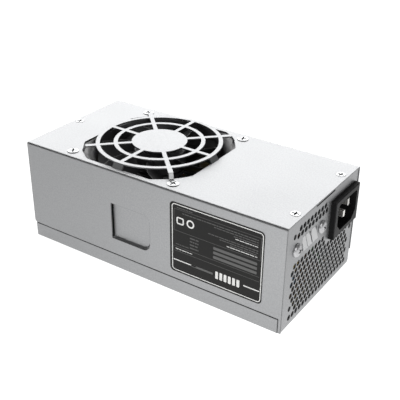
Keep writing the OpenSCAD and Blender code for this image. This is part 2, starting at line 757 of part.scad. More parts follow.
module choke_windings() color("orangered") at_choke()
    for (a = [30, 210]) winding_band(9.5, 5.5, 8, 1.4, 120, a);

module bridge_rectifier() color("black") on_board(42, -24) {
    translate([0, 0, 3]) block([-10, -2, 0], [10, 2, 14]);
    for (x = [-7.5, -2.5, 2.5, 7.5]) block([x - 0.5, -0.4, 0], [x + 0.5, 0.4, 3.2]);
}

bulk_xy = [[37, 19.5], [37, -5]];
module bulk_capacitors() color("midnightblue") for (p = bulk_xy) on_board(p[0], p[1]) {
    cylinder(r = 11, h = 30);
    translate([0, 0, 30]) difference() {
        cylinder(r = 10, h = 0.4);
        for (a = [0, 60, 120]) rotate(a) block([-8, -0.3, 0.15], [8, 0.3, 2]);
    }
}

module heatsink(x0, x1, y, side, h) {
    block([x0, side > 0 ? y : y - 2.5, board_top], [x1, side > 0 ? y + 2.5 : y, board_top + h]);
    for (i = [0:3]) block([x0, side > 0 ? y + 2.5 - eps : y - 5, board_top + 12 + 7 * i],
                          [x1, side > 0 ? y + 5 : y - 2.5 + eps, board_top + 13.4 + 7 * i]);
}

primary_sink = [-14, 22, 31.6];
secondary_sink = [-70, -26, 31.6];
module primary_heatsink() color("lightgray") difference() {
    heatsink(primary_sink[0], primary_sink[1], primary_sink[2], 1, 36);
    for (x = [-6, 8]) translate([x, 40, board_top + 22]) rotate([90, 0, 0]) cylinder(r = tapped_r, h = 12);
    translate([0, 34.5, board_top - 1]) cylinder(r = 3.6, h = 3.6);
}

module secondary_heatsink() color("lightgray") difference() {
    heatsink(secondary_sink[0], secondary_sink[1], secondary_sink[2], 1, 36);
    for (x = [-62, -48, -34]) translate([x, 40, board_top + 22]) rotate([90, 0, 0])
        cylinder(r = tapped_r, h = 12);
}

// Power transistor with its tab against the heatsink
module power_transistor(x, y) {
    translate([x, y, board_top]) difference() {
        union() {
            block([-5, -4.5, 6], [5, -touch, 15.2]);
            block([-5, -1.4, 15.2 - eps], [5, -touch, 21.5 + 3]);
            for (i = [-1:1]) block([i * 2.54 - 0.4, -2.9, 0], [i * 2.54 + 0.4, -2.4, 6 + eps]);
        }
        translate([0, 1, 22]) rotate([90, 0, 0]) cylinder(r = 1.8, h = 6);
    }
}

module switching_transistors() color("black") for (x = [-6, 8]) power_transistor(x, primary_sink[2]);

module output_rectifiers() color("black") for (x = [-62, -48, -34]) power_transistor(x, secondary_sink[2]);

module transistor_screws() color("silver") for (x = [-6, 8, -62, -48, -34])
    translate([x, primary_sink[2] - 1.45, board_top + 22]) rotate([90, 0, 0])
        dome_screw(2.7, 1.6, thread_r, 3.8, 2.8);

transformer_xy = [-8, -3];
module main_transformer_core() color("dimgray") on_board(transformer_xy[0], transformer_xy[1]) difference() {
    block([-17, -5.5, 3], [17, 5.5, 32]);
    for (s = [-1, 1]) block([s > 0 ? 4.6 : -11.6, -7, 9], [s > 0 ? 11.6 : -4.6, 7, 26]);
}

module main_transformer_winding() color("gold") on_board(transformer_xy[0], transformer_xy[1]) {
    difference() {
        block([-11.5, -13, 9.1], [11.5, 13, 25.9]);
        block([-4.7, -5.6, 8], [4.7, 5.6, 27]);
        for (s = [-1, 1]) block([s > 0 ? 11.3 : -12, -5.6, 8], [s > 0 ? 12 : -11.3, 5.6, 27]);
    }
    for (s = [-1, 1]) {
        block([-13, s > 0 ? 6 : -12, 1.5], [13, s > 0 ? 12 : -6, 4]);
        block([-8, s > 0 ? 7 : -11, 4 - eps], [8, s > 0 ? 11 : -7, 9.2]);
        for (i = [-2:2]) translate([i * 5, s * 9.5, 0]) cylinder(r = 0.5, h = 1.6);
    }
}

module small_transformer(x, y, l, w, h) {
    on_board(x, y) {
        block([-l / 2, -w * 0.22, 2], [l / 2, w * 0.22, h]);
        difference() {
            block([-l * 0.36, -w / 2, 4], [l * 0.36, w / 2, h - 2]);
            block([-l * 0.36 + 1, -w * 0.22 + eps, 3], [l * 0.36 - 1, w * 0.22 - eps, h]);
        }
        block([-l / 2, -w / 2, 1], [l / 2, w / 2, 2 + eps]);
        for (i = [-1:1], s = [-1, 1]) translate([i * l / 3.5, s * w * 0.4, 0]) cylinder(r = 0.4, h = 1.2);
    }
}

module driver_transformer() color("khaki") small_transformer(16, -27, 17, 15, 17);

module standby_transformer() color("gold") small_transformer(-6, -28, 20, 15, 19);

choke_xy = [-46, 4];
module output_choke_core() color("gold") on_board(choke_xy[0], choke_xy[1])
    translate([0, 0, 2.5]) tube(14, 8, 12);

module output_choke_winding() color("orangered") on_board(choke_xy[0], choke_xy[1]) translate([0, 0, 2.5])
    for (a = [0, 95, 190]) winding_band(14, 8, 12, 1.6, 80, a);

output_cap_xy = [[-72, 20], [-72, 8], [-72, -5], [-66, -18], [-24, -20], [-24, 22]];
module output_capacitors() color("saddlebrown") for (p = output_cap_xy) on_board(p[0], p[1]) {
    cylinder(r = 5, h = 20);
    translate([0, 0, 20]) difference() {
        cylinder(r = 4.4, h = 0.3);
        for (a = [0, 90]) rotate(a) block([-3.6, -0.2, 0.1], [3.6, 0.2, 2]);
    }
}

control_xy = [-46, -26];
module control_board() color("seagreen") on_board(control_xy[0], control_xy[1])
    block([-17, -0.6, 0.5], [17, 0.6, 22]);

module control_chips() color("black") on_board(control_xy[0], control_xy[1]) {
    block([-10, 0.6 + touch, 6], [10, 4, 13]);
    block([-5, 0.6 + touch, 15], [5, 3, 20]);
}

top_cover();
chassis();
selector_blank();
cover_screws();
selector_screws();
fan_screws();
side_label();
cable_grommet();
insulating_sheet();
fan_frame();
fan_impeller();
rotor_yoke();
rotor_magnet();
fan_shaft();
shaft_clip();
fan_bearing();
stator_core();
stator_coils();
fan_circuit_board();
fan_lead();
fan_plug();
fan_header();
ac_inlet_body();
line_and_neutral_pins();
earth_pin();
mains_wires();
earth_wire();
earth_lug();
earth_screw();
main_circuit_board();
board_standoffs();
board_screws();
mains_fuse();
fuse_clips();
inrush_thermistor();
x_capacitors();
y_capacitors();
choke_core();
choke_windings();
bridge_rectifier();
bulk_capacitors();
primary_heatsink();
switching_transistors();
secondary_heatsink();
output_rectifiers();
transistor_screws();
main_transformer_core();
main_transformer_winding();
driver_transformer();
standby_transformer();
output_choke_core();
output_choke_winding();
output_capacitors();
control_board();
control_chips();
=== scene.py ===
"""Looks of a slim computer power supply unit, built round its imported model. Lengths are in metres."""

import json
import math
import random

import bmesh
import bpy
from mathutils import Matrix, Vector


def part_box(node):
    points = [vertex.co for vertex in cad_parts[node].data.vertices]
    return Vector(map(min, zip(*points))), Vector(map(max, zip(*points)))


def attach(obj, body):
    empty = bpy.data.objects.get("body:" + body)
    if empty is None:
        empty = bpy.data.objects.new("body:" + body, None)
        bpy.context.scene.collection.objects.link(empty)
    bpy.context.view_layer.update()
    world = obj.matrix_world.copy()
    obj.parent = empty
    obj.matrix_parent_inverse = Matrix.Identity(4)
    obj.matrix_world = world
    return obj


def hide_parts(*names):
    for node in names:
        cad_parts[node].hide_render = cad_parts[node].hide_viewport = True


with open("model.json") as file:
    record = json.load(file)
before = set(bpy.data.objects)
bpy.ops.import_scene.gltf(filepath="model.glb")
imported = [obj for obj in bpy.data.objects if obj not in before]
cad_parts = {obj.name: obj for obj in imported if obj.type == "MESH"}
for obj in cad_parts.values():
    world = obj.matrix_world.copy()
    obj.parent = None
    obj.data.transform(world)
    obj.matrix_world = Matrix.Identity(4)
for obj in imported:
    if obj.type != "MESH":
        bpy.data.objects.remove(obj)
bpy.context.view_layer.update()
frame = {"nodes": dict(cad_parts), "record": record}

MM = 0.001
random.seed(12)

# Radius that stands for a point on the axis, so that each ring keeps its full count
AXIS_RADIUS = 0.01 * MM

# Camera: where it stands, what it looks at, its roll and its lens in millimetres
CAMERA_FROM = Vector((0.2228, -0.3200, 0.2473))
CAMERA_AT = Vector((0.0042, 0.0056, 0.0324))
CAMERA_ROLL = math.radians(0.69)
CAMERA_LENS = 67.1
SENSOR = 36

# Brightness of the lit white sweep, of the brighter pool on it, and of the room around it
FLOOR_GLOW = 1.0
POOL_GLOW = 1.7
POOL_CENTRE = (0.07, -0.16, 0.0)
POOL_RADIUS = 0.2
WORLD_LEVEL = 0.1


# ---------- mesh helpers ----------


def add_piece(name, bm, material, body="case", replaces=(), smooth_angle=35):
    """Makes an object of a finished bmesh, and hangs it on its CAD body."""
    bmesh.ops.recalc_face_normals(bm, faces=bm.faces)
    mesh = bpy.data.meshes.new(name)
    bm.to_mesh(mesh)
    bm.free()
    piece = bpy.data.objects.new(name, mesh)
    bpy.context.scene.collection.objects.link(piece)
    mesh.shade_smooth()
    mesh.set_sharp_from_angle(angle=math.radians(smooth_angle))
    mesh.materials.append(material)
    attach(piece, body)
    if replaces:
        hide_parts(*replaces)
    return piece


def add_grid(bm, rings, closed=False):
    """Joins rings of points, each with the same count, with quads. Returns the new vertices.

    A closed grid joins its last ring to its first. An open one gets a face over each end.
    """
    rows = [[bm.verts.new(p) for p in ring] for ring in rings]
    count = len(rows[0])
    pairs = list(zip(rows, rows[1:]))
    if closed:
        pairs.append((rows[-1], rows[0]))
    for low, high in pairs:
        for k in range(count):
            n = (k + 1) % count
            bm.faces.new((low[k], low[n], high[n], high[k]))
    if not closed:
        bm.faces.new(rows[0][::-1])
        bm.faces.new(rows[-1])
    return [v for row in rows for v in row]


def circle_points(radius, steps, z):
    turns = (2 * math.pi * k / steps for k in range(steps))
    return [Vector((radius * math.cos(a), radius * math.sin(a), z)) for a in turns]


def add_lathe(bm, profile, steps, matrix=Matrix.Identity(4)):
    """A solid of revolution about Z. The profile is a list of (radius, z) from one end to the other."""
    rings = [circle_points(max(r, AXIS_RADIUS), steps, z) for r, z in profile]
    bmesh.ops.transform(bm, matrix=matrix, verts=add_grid(bm, rings))


def add_tube(bm, profile, steps):
    """A solid of revolution about Z with a hole. The profile is a closed loop of (radius, z)."""
    add_grid(bm, [circle_points(r, steps, z) for r, z in profile], closed=True)


def add_prism(bm, outline, z0, z1, matrix=Matrix.Identity(4)):
    """An outline in X and Y extruded from z0 to z1."""
    rings = [[Vector((x, y, z)) for x, y in outline] for z in (z0, z1)]
    bmesh.ops.transform(bm, matrix=matrix, verts=add_grid(bm, rings))


def rounded_rectangle(width, height, radius, centre):
    """Points anticlockwise round a rectangle with round corners."""
    steps = 6
    points = []
    for corner, (sx, sy) in enumerate(((1, 1), (-1, 1), (-1, -1), (1, -1))):
        for k in range(steps + 1):
            a = math.pi / 2 * (corner + k / steps)
            x = centre[0] + sx * (width / 2 - radius) + radius * math.cos(a)
            y = centre[1] + sy * (height / 2 - radius) + radius * math.sin(a)
            points.append((x, y))
    return points


def combine(target, others, operation):
    """Applies a boolean of each other mesh to the target object, and removes the others."""
    for other in others:
        modifier = target.modifiers.new("combine", "BOOLEAN")
        modifier.operation = operation
        modifier.solver = "EXACT"
        modifier.object = other
    depsgraph = bpy.context.evaluated_depsgraph_get()
    result = bpy.data.meshes.new_from_object(target.evaluated_get(depsgraph))
    target.modifiers.clear()
    target.data = result
    for other in others:
        bpy.data.objects.remove(other)


def raw_object(bm):
    """An object with no body or material, for booleans."""
    bmesh.ops.recalc_face_normals(bm, faces=bm.faces)
    mesh = bpy.data.meshes.new("raw")
    bm.to_mesh(mesh)
    bm.free()
    raw = bpy.data.objects.new("raw", mesh)
    bpy.context.scene.collection.objects.link(raw)
    return raw


def taken_mesh(raw, matrix):
    """A bmesh of a raw object, moved by the matrix. The object itself is removed."""
    bm = bmesh.new()
    bm.from_mesh(raw.data)
    bpy.data.objects.remove(raw)
    bmesh.ops.transform(bm, matrix=matrix, verts=bm.verts)
    return bm


def at(x, y, z, axis="Z"):
    """A place whose Z points along the axis."""
    turn = {"Z": Matrix.Identity(4), "X": Matrix.Rotation(math.pi / 2, 4, "Y"),
            "-Y": Matrix.Rotation(math.pi / 2, 4, "X")}[axis]
    return Matrix.Translation((x, y, z)) @ turn


def about_z(degrees):
    return Matrix.Rotation(math.radians(degrees), 4, "Z")


# ---------- material helpers ----------

BUMP_STRENGTH = 0.6
STREAK_SIZE = 0.3 * MM
CREVICE = 0.9 * MM


class Look:
    """A node-based material that is being put together."""

    def __init__(self, name, roughness, metallic=0.0):
        self.material = bpy.data.materials.new(name)
        self.material.use_nodes = True
        self.tree = self.material.node_tree
        self.shader = self.tree.nodes["Principled BSDF"]
        self.shader.inputs["Metallic"].default_value = metallic
        self.shader.inputs["Roughness"].default_value = roughness
        self.place = self.node("ShaderNodeTexCoord").outputs["Object"]

    def node(self, kind, **settings):
        made = self.tree.nodes.new(kind)
        for key, value in settings.items():
            setattr(made, key, value)
        return made

    def feed(self, socket, value):
        """Links an output to an input, or sets the input to a plain value."""
        if isinstance(value, bpy.types.NodeSocket):
            self.tree.links.new(value, socket)
        else:
            socket.default_value = value

    def noise(self, size, detail=2.0, stretch=(1, 1, 1)):
        """Noise from 0 to 1 whose features are about size metres across, squeezed by stretch."""
        mapping = self.node("ShaderNodeMapping")
        mapping.inputs["Scale"].default_value = stretch
        self.feed(mapping.inputs["Vector"], self.place)
        texture = self.node("ShaderNodeTexNoise")
        texture.inputs["Scale"].default_value = 1 / size
        texture.inputs["Detail"].default_value = detail
        self.feed(texture.inputs["Vector"], mapping.outputs["Vector"])
        return texture.outputs["Fac"]

    def remap(self, value, low, high, to_low=0.0, to_high=1.0):
        made = self.node("ShaderNodeMapRange")
        for key, number in (("From Min", low), ("From Max", high), ("To Min", to_low), ("To Max", to_high)):
            made.inputs[key].default_value = number
        self.feed(made.inputs["Value"], value)
        return made.outputs["Result"]

    def math(self, operation, a, b=0.0):
        made = self.node("ShaderNodeMath", operation=operation)
        self.feed(made.inputs[0], a)
        self.feed(made.inputs[1], b)
        return made.outputs["Value"]

    def mix(self, factor, a, b):
        made = self.node("ShaderNodeMix", data_type="RGBA")
        self.feed(made.inputs["Factor"], factor)
        self.feed(made.inputs["A"], rgba(a))
        self.feed(made.inputs["B"], rgba(b))
        return made.outputs["Result"]

    def rounded_normal(self, radius):
        """The normal of an edge softened over this radius."""
        made = self.node("ShaderNodeBevel", samples=6)
        made.inputs["Radius"].default_value = radius
        return made.outputs["Normal"]

    def edge_mask(self, distance):
        """1 along the outer edges of the solid, falling to 0 this far from them."""
        made = self.node("ShaderNodeAmbientOcclusion", samples=8, inside=True, only_local=True)
        made.inputs["Distance"].default_value = distance
        return self.remap(made.outputs["AO"], 0.96, 0.8)

    def upright(self):
        """1 on walls, 0 on faces that look up or down."""
        parts = self.node("ShaderNodeSeparateXYZ")
        self.feed(parts.inputs["Vector"], self.node("ShaderNodeNewGeometry").outputs["Normal"])
        return self.remap(self.math("ABSOLUTE", parts.outputs["Z"]), 0.95, 0.6)

    def openness(self, distance):
        """1 in the open, 0 deep in a crevice of about this width."""
        made = self.node("ShaderNodeAmbientOcclusion", samples=6)
        made.inputs["Distance"].default_value = distance
        return made.outputs["AO"]

    def bump(self, height, distance, normal):
        """The normal roughened by a height map that is this deep."""
        made = self.node("ShaderNodeBump")
        made.inputs["Distance"].default_value = distance
        made.inputs["Strength"].default_value = BUMP_STRENGTH
        self.feed(made.inputs["Height"], height)
        self.feed(made.inputs["Normal"], normal)
        return made.outputs["Normal"]

    def set(self, **sockets):
        """Sets or links the shader's inputs, named with _ for a blank."""
        for name, value in sockets.items():
            socket = self.shader.inputs[name.replace("_", " ")]
            self.feed(socket, rgba(value))
        return self


def rgba(value):
    """A plain colour gets an alpha of 1. Anything else comes back as it is."""
    return (*value, 1.0) if isinstance(value, tuple) else value


def shade(colour, factor):
    """A colour made lighter or darker, with no channel above 1."""
    return tuple(min(c * factor, 1.0) for c in colour)


def surface(name, colour, roughness, metallic=0.0, grain=0.4 * MM, grain_depth=0.004 * MM, grain_tint=0.04,
            clouds=18 * MM, cloud_tint=0.05, edge=0.15 * MM, wear=0.0, cut=0.0, grime=0.0, streak=None,
            streak_tint=0.08, rough_swing=0.06):
    """The general material: clouded colour, fine grain, uneven roughness, softened edges.

    Grain, clouds and edge are sizes, and streak stretches a second, directional grain. Wear brightens
    the edges, cut paints shade along the edges of walls, and the crevice amount paints shade into crevices.
    """
    look = Look(name, roughness, metallic)
    fine = look.noise(grain, 3.0)
    wide = look.noise(clouds, 4.0)
    tone = look.mix(look.remap(wide, 0.3, 0.7), shade(colour, 1 - cloud_tint), shade(colour, 1 + cloud_tint))
    speckled = look.mix(look.remap(fine, 0.3, 0.7, 0.0, 2 * grain_tint), tone, shade(colour, 0.35))
    uneven = look.math("ADD", wide, fine)
    rough = look.remap(uneven, 0.6, 1.4, roughness - rough_swing, roughness + rough_swing)
    height = fine
    if streak:
        lines = look.noise(STREAK_SIZE, 2.0, streak)
        height = look.math("ADD", look.math("MULTIPLY", lines, 0.7), look.math("MULTIPLY", fine, 0.5))
        speckled = look.mix(look.remap(lines, 0.35, 0.65, 0.0, streak_tint), speckled, shade(colour, 0.5))
    normal = look.rounded_normal(edge)
    if wear or cut:
        worn_or_shaded = look.math("MULTIPLY", look.edge_mask(edge), look.remap(wide, 0.35, 0.6, 0.6, 1.0))
        # Painted shade: cut darkens the edges of walls, while wear brightens worn edges
        if cut:
            worn_or_shaded = look.math("MULTIPLY", worn_or_shaded, look.upright())
        edge_colour = shade(colour, 1.5 if wear else 0.3)
        speckled = look.mix(look.math("MULTIPLY", worn_or_shaded, wear or cut), speckled, edge_colour)
    # Painted shade: where ambient occlusion finds a crevice, the colour is darkened towards 0.12 of itself
    if grime:
        crevice_shading = look.remap(look.openness(CREVICE), 0.6, 0.2, 0.0, grime)
        speckled = look.mix(crevice_shading, speckled, shade(colour, 0.12))
    look.set(Base_Color=speckled, Roughness=rough, Normal=look.bump(height, grain_depth, normal))
    return look


# ---------- materials, one for each slot of the record ----------


def make_looks():
    """The material of each slot: colour, roughness, how metallic it is, then its texture."""
    looks = {}

    def add(slot, *args, **kw):
        looks[slot] = surface(slot, *args, **kw)
        return looks[slot]

    # cut paints shade along the edges of walls, and the crevice amounts paint shade into crevices
    add("zinc_steel", (0.36, 0.364, 0.37), 0.46, 1.0, grain=0.8 * MM, grain_depth=0.002 * MM,
        grain_tint=0.1, clouds=35 * MM, cloud_tint=0.025, edge=0.35 * MM, cut=0.8, grime=0.8,
        streak=(0.04, 1, 1), streak_tint=0.05, rough_swing=0.04)
    add("bright_screw", (0.46, 0.465, 0.47), 0.34, 1.0, grain=0.3 * MM, grain_depth=0.001 * MM,
        grain_tint=0.02, clouds=3 * MM, cloud_tint=0.02, edge=0.12 * MM, cut=0.5, grime=1.0)
    add("black_inlet", (0.006, 0.006, 0.0065), 0.5, grain=0.35 * MM, grain_depth=0.012 * MM,
        clouds=8 * MM, cloud_tint=0.12, edge=0.3 * MM, wear=0.6, grime=0.8).set(Specular_IOR_Level=0.18)
    add("fan_plastic", (0.032, 0.032, 0.034), 0.4, grain=0.5 * MM, grain_depth=0.006 * MM,
        clouds=12 * MM, cloud_tint=0.12, edge=0.3 * MM, wear=0.4, grime=0.5).set(Specular_IOR_Level=0.5)
    add("label_film", (0.011, 0.0108, 0.0102), 0.45, grain=0.25 * MM, grain_depth=0.003 * MM,
        clouds=14 * MM, cloud_tint=0.08, edge=0.08 * MM).set(Specular_IOR_Level=0.17)
    add("pin_metal", (0.86, 0.85, 0.82), 0.45, 1.0, grain=0.2 * MM, clouds=3 * MM, edge=0.3 * MM, wear=0.3)
    add("brass_plate", (0.78, 0.6, 0.3), 0.3, 1.0, grain=0.3 * MM, clouds=2 * MM, edge=0.2 * MM, wear=0.3)
    add("bearing_bronze", (0.56, 0.36, 0.2), 0.4, 1.0, grain=0.15 * MM, clouds=2 * MM, grain_tint=0.1)
    add("silicon_steel", (0.33, 0.33, 0.35), 0.42, 1.0, grain=0.3 * MM, streak=(1, 1, 6))
    add("motor_steel", (0.52, 0.53, 0.55), 0.32, 1.0, grain=0.3 * MM)
    add("magnet_ferrite", (0.055, 0.053, 0.05), 0.7, grain=0.25 * MM, grain_depth=0.02 * MM, grain_tint=0.1)
    add("copper_enamel", (0.62, 0.2, 0.07), 0.3, 0.8, grain=0.5 * MM, clouds=4 * MM, cloud_tint=0.12)
    add("green_board", (0.008, 0.035, 0.018), 0.4, grain=0.4 * MM, clouds=9 * MM, cloud_tint=0.15)
    add("tan_board", (0.5, 0.29, 0.1), 0.5, grain=0.5 * MM, clouds=12 * MM, cloud_tint=0.1,
        streak=(0.1, 1, 1))
    add("white_nylon", (0.74, 0.71, 0.62), 0.42, grain=0.3 * MM, clouds=4 * MM, edge=0.2 * MM)
    add("sheet_film", (0.6, 0.52, 0.2), 0.3, grain=0.6 * MM, clouds=20 * MM)
    add("wire_pvc", (0.03, 0.03, 0.032), 0.42, grain=0.4 * MM, clouds=3 * MM)
    add("earth_pvc", (0.06, 0.32, 0.05), 0.42, grain=0.4 * MM, clouds=3 * MM)
    add("fuse_glass", (0.66, 0.7, 0.7), 0.08, grain=0.6 * MM, grain_tint=0.02, clouds=5 * MM)
    add("ferrite_core", (0.045, 0.045, 0.048), 0.55, grain=0.25 * MM, grain_depth=0.012 * MM, grain_tint=0.1)
    add("yellow_tape", (0.72, 0.49, 0.04), 0.32, grain=0.5 * MM, clouds=6 * MM, streak=(1, 1, 0.05))
    add("yellow_core", (0.7, 0.52, 0.06), 0.45, grain=0.3 * MM, clouds=5 * MM, grain_depth=0.01 * MM)
    add("x_box", (0.66, 0.5, 0.12), 0.4, grain=0.3 * MM, clouds=5 * MM, edge=0.3 * MM)
    add("y_disc", (0.03, 0.2, 0.42), 0.38, grain=0.3 * MM, clouds=3 * MM, edge=0.8 * MM)
    add("thermistor_disc", (0.03, 0.05, 0.03), 0.42, grain=0.3 * MM, clouds=3 * MM, edge=0.8 * MM)
    add("capacitor_sleeve", (0.012, 0.025, 0.09), 0.25, grain=0.5 * MM, clouds=7 * MM, edge=0.6 * MM)
    add("small_capacitor_sleeve", (0.09, 0.045, 0.02), 0.25, grain=0.5 * MM, clouds=5 * MM, edge=0.4 * MM)
    add("heatsink_aluminium", (0.72, 0.73, 0.74), 0.34, 1.0, grain=0.4 * MM, streak=(1, 1, 0.05), wear=0.2)
    add("epoxy_black", (0.02, 0.02, 0.021), 0.5, grain=0.25 * MM, grain_depth=0.01 * MM, edge=0.2 * MM)
    return {slot: look.material for slot, look in looks.items()}


def make_variants():
    """Finishes of single pieces that differ from the rest of their slot. The blank's lighter steel paints
    the light its tilted tongues catch, and the dark recess lining paints shade inside screw recesses.
    """
    # Painted light: lighter than the panel's steel, for the light the tilted tongues catch
    blank = surface("selector_blank_lit_steel", (0.6, 0.605, 0.61), 0.42, 1.0, grain=0.4 * MM,
                    grain_depth=0.002 * MM, grain_tint=0.06, clouds=6 * MM, cloud_tint=0.04, edge=0.15 * MM,
                    grime=0.9)
    dome = surface("satin_dome", (0.5, 0.5, 0.51), 0.36, 0.8, grain=0.3 * MM, grain_depth=0.001 * MM,
                   grain_tint=0.03, clouds=3 * MM, cloud_tint=0.04, edge=0.2 * MM, cut=0.7, grime=1.0)
    # Painted shade: a dark lining for the inside of screw recesses and the shaded side of rims
    recess = surface("screw_recess_shade", (0.045, 0.045, 0.047), 0.6, 0.5, grain=0.2 * MM, grain_tint=0.08,
                     clouds=2 * MM, cloud_tint=0.2, edge=0.05 * MM)
    return {"blank": blank.material, "dome": dome.material, "recess": recess.material}


def dress_cad_nodes(looks):
    """Gives each CAD node the material of its slot, or of its own variant."""
    for part in frame["record"]["subparts"]:
        mesh = frame["nodes"][part["node"]].data
        mesh.materials.clear()
        own = looks["blank"] if part["node"] == "selector_blank" else looks[part["material_slot"]]
        mesh.materials.append(own)


# ---------- screws ----------

# Threads: radius, pitch and length
MACHINE_THREAD = (1.45 * MM, 0.5 * MM, 5 * MM)
FAN_THREAD = (2 * MM, 1.4 * MM, 9 * MM)


def cross_cutter(size, depth, top):
    """A tapered cross that cuts a recess down from a head's top."""
    def cross(reach, half):
        points = [(reach, -half), (reach, half), (half, half)]
        for _ in range(3):
            points += [(-y, x) for x, y in points[-3:]]
        return points

    bm = bmesh.new()
    levels = ((0.3 * MM, size / 2, size * 0.11), (-depth, size * 0.38, size * 0.065))
    add_grid(bm, [[Vector((x, y, top + z)) for x, y in cross(reach, half)] for z, reach, half in levels])
    return bm


def add_thread(bm, radius, pitch, length, head_profile):
    """A screw about Z: a threaded shank down from z = 0, and a head of (radius, z) points above it."""
    steps, depth = 24, pitch * 0.35
    levels = int(length / pitch * 6)
    rings = [circle_points(radius * 0.45, steps, -length)]
    for i in range(levels):
        z = -length + 0.12 * pitch + (length - 0.3 * pitch) * i / levels
        fade = min(1.0, i / 6, (levels - 1 - i) / 6 + 0.05)
        ring = []
        for k in range(steps):
            turn = k / steps
            wave = abs(((z / pitch - turn) % 1.0) * 2 - 1)
            r = radius - depth * fade * wave
            a = 2 * math.pi * turn
            ring.append(Vector((r * math.cos(a), r * math.sin(a), z)))
        rings.append(ring)
    rings += [circle_points(max(r, AXIS_RADIUS), steps, z) for r, z in [(radius, -0.05 * MM)] + head_profile]
    add_grid(bm, rings)


def pan_head(radius, height, rim):
    """Half profile of a domed head with an upright rim."""
    curve = [(radius * math.cos(a), rim + (height - rim) * math.sin(a))
             for a in (math.radians(d) for d in range(0, 90, 12))]
    return [(radius * 0.97, 0.0), (radius, 0.04 * MM)] + curve + [(0.0, height)]


def flat_head(radius, neck, depth, lip):
    """Half profile of a countersunk head whose lip stands a little proud."""
    return [(neck, -depth), (radius, -0.05 * MM), (radius, lip * 0.5), (radius - 0.12 * MM, lip), (0.0, lip)]


def make_screws(name, seats, thread, head_profile, recess, materials, node, painted_rim_shade=False):
    """One piece that stands for a CAD node of equal screws. A seat is (matrix, turn in degrees).

    A recess is (size, depth). The first material is the screw's, and the second, a dark one, paints
    shade into the recess and, when asked, onto the upright side of the rim.
    """
    top = head_profile[-1][1]
    first = bmesh.new()
    add_thread(first, *thread, head_profile)
    one, cutter = raw_object(first), raw_object(cross_cutter(*recess, top))
    for raw in (one, cutter):
        for material in materials:
            raw.data.materials.append(material)
    # Painted shade: the recess walls take the dark second material
    for face in cutter.data.polygons:
        face.material_index = 1
    combine(one, [cutter], "DIFFERENCE")
    # Painted shade: when asked, the upright sides of the rim take the dark second material
    for face in one.data.polygons:
        if painted_rim_shade and face.center.z > 0 and abs(face.normal.z) < 0.3:
            face.material_index = 1
    bm = bmesh.new()
    for matrix, turn in seats:
        before = set(bm.verts)
        bm.from_mesh(one.data)
        added = [v for v in bm.verts if v not in before]
        bmesh.ops.transform(bm, matrix=matrix @ about_z(turn), verts=added)
    bpy.data.objects.remove(one)
    piece = add_piece(name, bm, materials[0], replaces=(node,), smooth_angle=30)
    piece.data.materials.append(materials[1])


def make_cover_screws(looks):
    """Three flat heads in the cover: one at the cable end, two at the rear."""
    lo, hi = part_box("cover_screws")
    head, lip, recess = 2.75 * MM, 0.15 * MM, (4.1 * MM, 1.2 * MM)
    x_front, x_rear, y_side = lo.x + head, hi.x - head, hi.y - head
    z = hi.z - lip
    seats = [(at(x_front, 0, z), 20), (at(x_rear, -y_side, z), 5), (at(x_rear, y_side, z), -12)]
    make_screws("cover_screw_set", seats, MACHINE_THREAD, flat_head(head, MACHINE_THREAD[0], 0.8 * MM, lip),
                recess, (looks["bright_screw"], looks["recess"]), "cover_screws")


def make_fan_screws(looks):
    """Four raised heads round the grille, on coarse threads that bite into the fan's posts."""
    lo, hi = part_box("fan_screws")
    head, lip, recess = 3.4 * MM, 0.5 * MM, (4.7 * MM, 1.1 * MM)
    xs, ys, z = (lo.x + head, hi.x - head), (lo.y + head, hi.y - head), hi.z - lip
    seats = [(at(x, y, z), 35 + 50 * i + 20 * j) for i, x in enumerate(xs) for j, y in enumerate(ys)]
    cone = [(2.3 * MM, -0.75 * MM), (3.05 * MM, -0.01 * MM)]
    rim = [(head - 0.1 * MM, 0.0), (head, 0.08 * MM), (head, lip * 0.6)]
    face = [(head - 0.25 * MM, lip * 0.85), (head * 0.55, lip), (0.0, lip)]
    make_screws("fan_screw_set", seats, FAN_THREAD, cone + rim + face, recess,
                (looks["bright_screw"], looks["recess"]), "fan_screws", painted_rim_shade=True)


def make_selector_screws(looks):
    """Two satin domes either side of the blanked selector window."""
    lo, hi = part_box("selector_screws")
    head, height, rim, recess = 3.8 * MM, 2.2 * MM, 0.3 * MM, (3.2 * MM, 1.2 * MM)
    x, z = hi.x - height, (lo.z + hi.z) / 2
    seats = [(at(x, lo.y + head, z, "X"), 20), (at(x, hi.y - head, z, "X"), 55)]
    make_screws("selector_screw_set", seats, MACHINE_THREAD, pan_head(head, height, rim), recess,
                (looks["dome"], looks["recess"]), "selector_screws")


# ---------- fan ----------

FAN_SCREW_SPACING = 71.5 * MM
DUCT_RADIUS = 38 * MM
DUCT_WALL = 1.7 * MM
FLANGE = 3 * MM
FRAME_CORNER = 4 * MM
FRAME_CHAMFER = 0.2 * MM
FRAME_LIP = 0.4 * MM

# The flare at the duct's mouth follows a square with round corners, up to a largest radius
FLARE_DEPTH = 5.5 * MM
FLARE_SQUARE = 38.4 * MM
FLARE_CORNER = 9 * MM
FLARE_MOST = 43 * MM

# Degrees of a quarter turn at which the frame has a section: closer together in its corner
FRAME_DEGREES = [*range(0, 38, 3), 38, 39.5, *range(41, 50), 50.5, 52, *range(54, 90, 3)]

POST_RADIUS = 3.8 * MM
POST_HOLE = 2.03 * MM
SEAT_RADIUS = 15.5 * MM
BEARING_BORE = 3 * MM
STRUT_DEGREES = (20, 110, 200, 290)

BLADES = 7
BLADE_TWIST = math.radians(26)
BLADE_SWEEP = math.radians(16)
HUB_RADIUS = 15.5 * MM
CUP_RADIUS = 14.3 * MM
BLADE_TIP = 37.2 * MM


